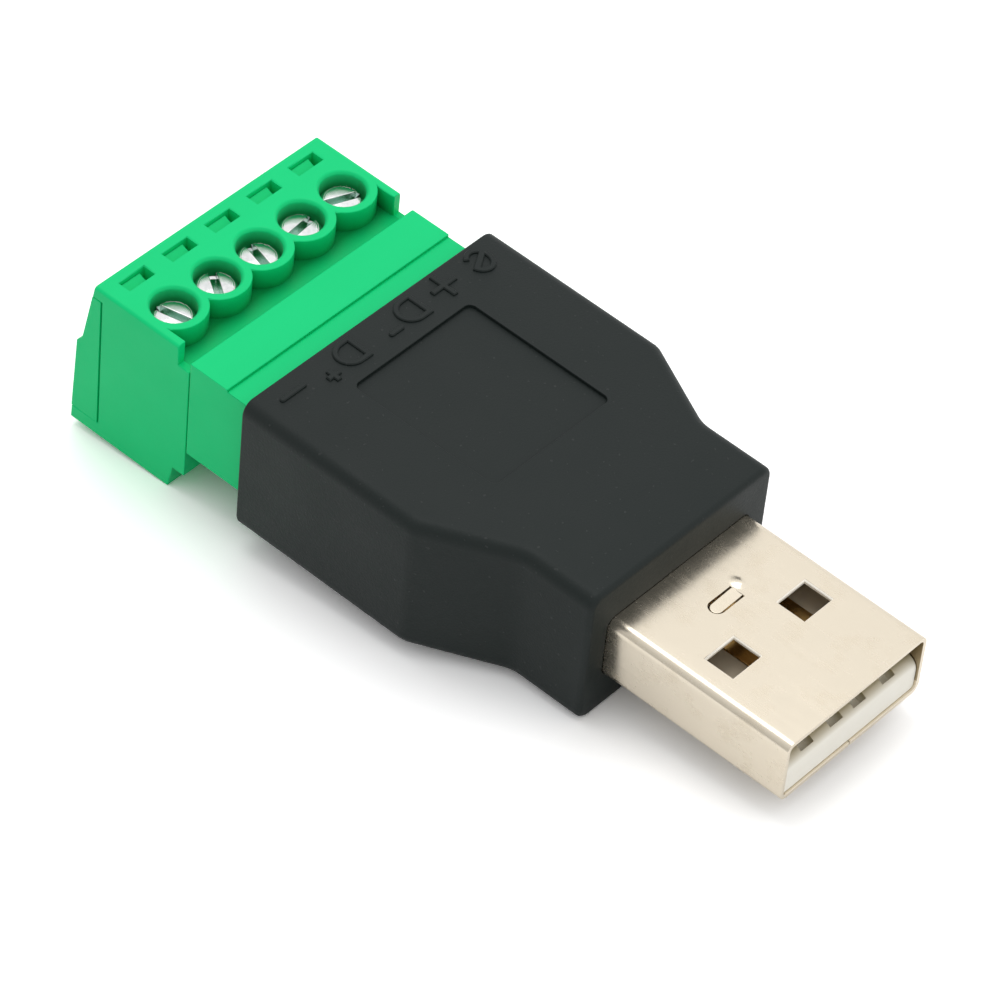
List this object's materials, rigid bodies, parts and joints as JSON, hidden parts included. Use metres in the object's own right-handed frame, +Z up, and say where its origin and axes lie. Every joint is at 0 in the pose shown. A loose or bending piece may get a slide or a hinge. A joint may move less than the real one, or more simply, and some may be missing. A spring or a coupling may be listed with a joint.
{
  "type": "usb terminal block adapter",
  "caption": "USB plug in a dark tapered housing with a green pluggable screw terminal block, whose slotted screws lift wire cages.",
  "frame": {"origin": "on the lowest plane, under the middle of the whole adapter", "axes": "+X towards the tip of the USB plug, +Y across the row of screws, +Z up, out of the screw heads"},
  "size_m": [0.051, 0.0208, 0.0122],
  "materials": {
    "housing_plastic": "fine matt grain",
    "board_laminate": "lacquered",
    "shell_metal": "satin nickel plate",
    "insulator_plastic": "moulded",
    "contact_gilt": "gilt",
    "terminal_plastic": "moulded, satin",
    "pin_tin": "tinned",
    "contact_bronze": "tinned spring bronze",
    "cage_metal": "zinc plate",
    "screw_zinc": "bright zinc plate"
  },
  "bodies": {
    "adapter": {"housing": "housing_plastic", "circuit_board": "board_laminate", "usb_shell": "shell_metal", "usb_insulator": "insulator_plastic", "usb_contact_1": "contact_gilt", "usb_contact_2": "contact_gilt", "usb_contact_3": "contact_gilt", "usb_contact_4": "contact_gilt", "header_body": "terminal_plastic", "header_pin_1": "pin_tin", "header_pin_2": "pin_tin", "header_pin_3": "pin_tin", "header_pin_4": "pin_tin", "header_pin_5": "pin_tin"},
    "terminal_plug": {"plug_body": "terminal_plastic", "plug_rear_cover": "terminal_plastic", "spring_contact_1": "contact_bronze", "spring_contact_2": "contact_bronze", "spring_contact_3": "contact_bronze", "spring_contact_4": "contact_bronze", "spring_contact_5": "contact_bronze"},
    "screw_1": {"clamp_screw_1": "screw_zinc"},
    "cage_1": {"wire_cage_1": "cage_metal"},
    "screw_2": {"clamp_screw_2": "screw_zinc"},
    "cage_2": {"wire_cage_2": "cage_metal"},
    "screw_3": {"clamp_screw_3": "screw_zinc"},
    "cage_3": {"wire_cage_3": "cage_metal"},
    "screw_4": {"clamp_screw_4": "screw_zinc"},
    "cage_4": {"wire_cage_4": "cage_metal"},
    "screw_5": {"clamp_screw_5": "screw_zinc"},
    "cage_5": {"wire_cage_5": "cage_metal"}
  },
  "joints": [
    {"name": "plug_pull", "type": "slide", "parent": "adapter", "child": "terminal_plug", "axis": [-1, 0, 0], "range_m": [0, 0.009]},
    {"name": "screw_turn_1", "type": "hinge", "parent": "terminal_plug", "child": "screw_1", "pos_m": [-0.01975, -0.007, 0.01037], "axis": [0, 0, 1], "range_deg": [-1440, 0]},
    {"name": "screw_turn_2", "type": "hinge", "parent": "terminal_plug", "child": "screw_2", "pos_m": [-0.01975, -0.0035, 0.01037], "axis": [0, 0, 1], "range_deg": [-1440, 0]},
    {"name": "screw_turn_3", "type": "hinge", "parent": "terminal_plug", "child": "screw_3", "pos_m": [-0.01975, 0, 0.01037], "axis": [0, 0, 1], "range_deg": [-1440, 0]},
    {"name": "screw_turn_4", "type": "hinge", "parent": "terminal_plug", "child": "screw_4", "pos_m": [-0.01975, 0.0035, 0.01037], "axis": [0, 0, 1], "range_deg": [-1440, 0]},
    {"name": "screw_turn_5", "type": "hinge", "parent": "terminal_plug", "child": "screw_5", "pos_m": [-0.01975, 0.007, 0.01037], "axis": [0, 0, 1], "range_deg": [-1440, 0]},
    {"name": "cage_lift_1", "type": "slide", "parent": "terminal_plug", "child": "cage_1", "axis": [0, 0, 1], "range_m": [0, 0.0016]},
    {"name": "cage_lift_2", "type": "slide", "parent": "terminal_plug", "child": "cage_2", "axis": [0, 0, 1], "range_m": [0, 0.0016]},
    {"name": "cage_lift_3", "type": "slide", "parent": "terminal_plug", "child": "cage_3", "axis": [0, 0, 1], "range_m": [0, 0.0016]},
    {"name": "cage_lift_4", "type": "slide", "parent": "terminal_plug", "child": "cage_4", "axis": [0, 0, 1], "range_m": [0, 0.0016]},
    {"name": "cage_lift_5", "type": "slide", "parent": "terminal_plug", "child": "cage_5", "axis": [0, 0, 1], "range_m": [0, 0.0016]}
  ],
  "couplings": [
    {"joint": "screw_turn_1", "follows": "cage_lift_1", "rad_per_m": -15708},
    {"joint": "screw_turn_2", "follows": "cage_lift_2", "rad_per_m": -15708},
    {"joint": "screw_turn_3", "follows": "cage_lift_3", "rad_per_m": -15708},
    {"joint": "screw_turn_4", "follows": "cage_lift_4", "rad_per_m": -15708},
    {"joint": "screw_turn_5", "follows": "cage_lift_5", "rad_per_m": -15708}
  ]
}
